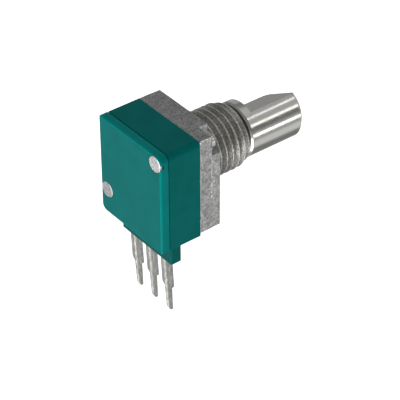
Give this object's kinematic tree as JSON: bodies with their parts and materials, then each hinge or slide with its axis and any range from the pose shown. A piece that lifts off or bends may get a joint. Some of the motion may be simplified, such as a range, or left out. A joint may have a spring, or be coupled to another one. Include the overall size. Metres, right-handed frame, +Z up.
{
  "type": "rotary potentiometer",
  "caption": "Small panel-mount rotary potentiometer: D-cut metal shaft in a threaded zinc bushing, square moulded body and in-line board terminals.",
  "frame": {"origin": "on the shaft axis, in the mounting face of the die-cast housing, where the bushing starts", "axes": "+X out along the bushing and shaft, +Z up, terminals pointing down along -Z, +Y completes a right-handed frame"},
  "size_m": [0.0195, 0.0098, 0.0209],
  "materials": {
    "zinc_casting": "matte as-cast zinc alloy, oily in the thread",
    "green_moulding": "satin moulded thermoplastic",
    "nickel_plate": "turned brass, bright nickel plated",
    "rivet_metal": "satin",
    "tinned_brass": "dull tin plate",
    "eyelet_brass": "satin",
    "phenolic_board": "satin laminate",
    "carbon_film": "matte printed film",
    "silver_film": "matte printed film",
    "rotor_plastic": "satin natural acetal",
    "spring_bronze": "rolled phosphor bronze",
    "washer_steel": "rolled steel"
  },
  "bodies": {
    "body": {"bushing_housing": "zinc_casting", "element_housing": "green_moulding", "rear_cover": "green_moulding", "terminal_block": "green_moulding", "terminal_1": "tinned_brass", "terminal_2": "tinned_brass", "terminal_3": "tinned_brass", "eyelet_1": "eyelet_brass", "eyelet_2": "eyelet_brass", "eyelet_3": "eyelet_brass", "element_board": "phenolic_board", "resistive_track": "carbon_film", "collector_ring": "silver_film", "end_pad_1": "silver_film", "end_pad_3": "silver_film", "rivet_upper": "rivet_metal", "rivet_lower": "rivet_metal", "thrust_washer": "washer_steel"},
    "spindle": {"shaft": "nickel_plate", "rotor": "rotor_plastic", "wiper": "spring_bronze", "retaining_ring": "washer_steel"}
  },
  "joints": [
    {"name": "shaft_turn", "type": "hinge", "parent": "body", "child": "spindle", "pos_m": [0, 0, 0], "axis": [1, 0, 0], "range_deg": [-120, 180]}
  ]
}
